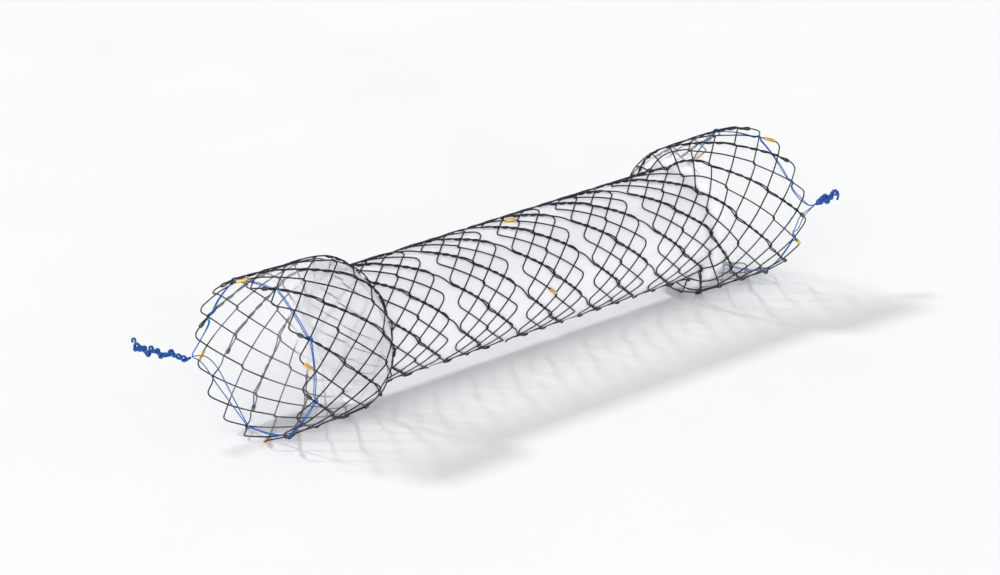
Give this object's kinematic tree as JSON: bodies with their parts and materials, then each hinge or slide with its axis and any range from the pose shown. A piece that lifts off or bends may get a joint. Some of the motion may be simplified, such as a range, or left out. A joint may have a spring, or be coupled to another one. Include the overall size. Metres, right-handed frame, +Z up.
{
  "type": "esophageal stent",
  "caption": "Covered esophageal stent: hooked zigzag wire rings with link wires over a silicone lining, flared cuffs, gold marker bands and blue retrieval threads.",
  "frame": {"origin": "middle of the lumen, on the stent's axis", "axes": "+X along the stent's axis towards its right end in the picture, +Z up as it lies on a surface, -Y towards the viewer"},
  "size_m": [0.1394, 0.0305, 0.0274],
  "materials": {
    "silicone": "translucent satin",
    "wire": "dark oxide satin",
    "sleeve": "dark satin",
    "gold": "satin gold",
    "thread": "braided"
  },
  "bodies": {
    "root": {"lining": "silicone", "ring_01": "wire", "ring_02": "wire", "ring_03": "wire", "ring_04": "wire", "ring_05": "wire", "ring_06": "wire", "ring_07": "wire", "ring_08": "wire", "ring_09": "wire", "ring_10": "wire", "ring_11": "wire", "ring_12": "wire", "ring_13": "wire", "ring_14": "wire", "ring_15": "wire", "ring_16": "wire", "link_wire_1": "wire", "link_wire_2": "wire", "link_wire_3": "wire", "link_wire_4": "wire", "link_wire_5": "wire", "link_wire_6": "wire", "link_wire_7": "wire", "link_wire_8": "wire", "sleeve_left_1": "sleeve", "sleeve_left_2": "sleeve", "sleeve_left_3": "sleeve", "sleeve_left_4": "sleeve", "sleeve_left_5": "sleeve", "sleeve_left_6": "sleeve", "sleeve_left_7": "sleeve", "sleeve_left_8": "sleeve", "sleeve_right_1": "sleeve", "sleeve_right_2": "sleeve", "sleeve_right_3": "sleeve", "sleeve_right_4": "sleeve", "sleeve_right_5": "sleeve", "sleeve_right_6": "sleeve", "sleeve_right_7": "sleeve", "sleeve_right_8": "sleeve", "marker_left_1": "gold", "marker_left_2": "gold", "marker_left_3": "gold", "marker_left_4": "gold", "marker_middle_1": "gold", "marker_middle_2": "gold", "marker_middle_3": "gold", "marker_middle_4": "gold", "marker_right_1": "gold", "marker_right_2": "gold", "marker_right_3": "gold", "marker_right_4": "gold", "thread_left": "thread", "thread_right": "thread", "tail_left": "thread", "tail_right": "thread"}
  },
  "joints": []
}
